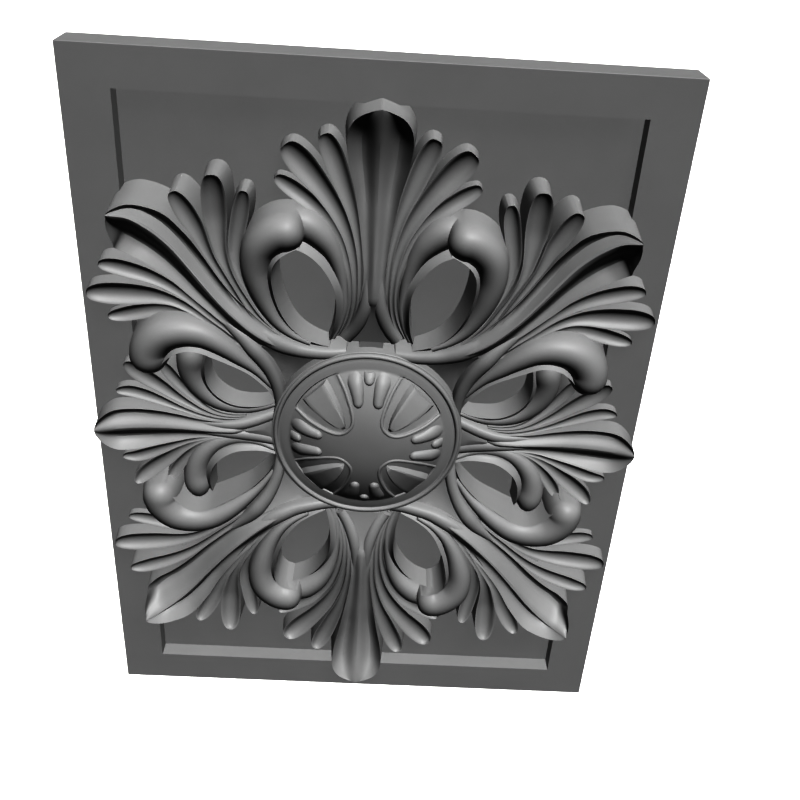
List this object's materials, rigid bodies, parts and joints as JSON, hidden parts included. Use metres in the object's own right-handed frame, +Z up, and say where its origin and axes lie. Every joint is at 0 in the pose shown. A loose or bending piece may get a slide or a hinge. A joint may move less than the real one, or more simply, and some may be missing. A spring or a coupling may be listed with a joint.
{
  "type": "carved rosette plaque",
  "caption": "Upright wall plaque: a framed rectangular board with a leafy rosette carved in high relief round a domed boss.",
  "frame": {"origin": "centre of the board's back face", "axes": "+Z up along the long side of the board, +X to the right as seen from the front, -Y out of the carved front"},
  "size_m": [0.3, 0.0454, 0.4],
  "materials": {
    "board": "even grey paint, satin",
    "carving": "even grey paint, satin"
  },
  "bodies": {
    "root": {"backing_panel": "board", "rosette": "carving"}
  },
  "joints": []
}
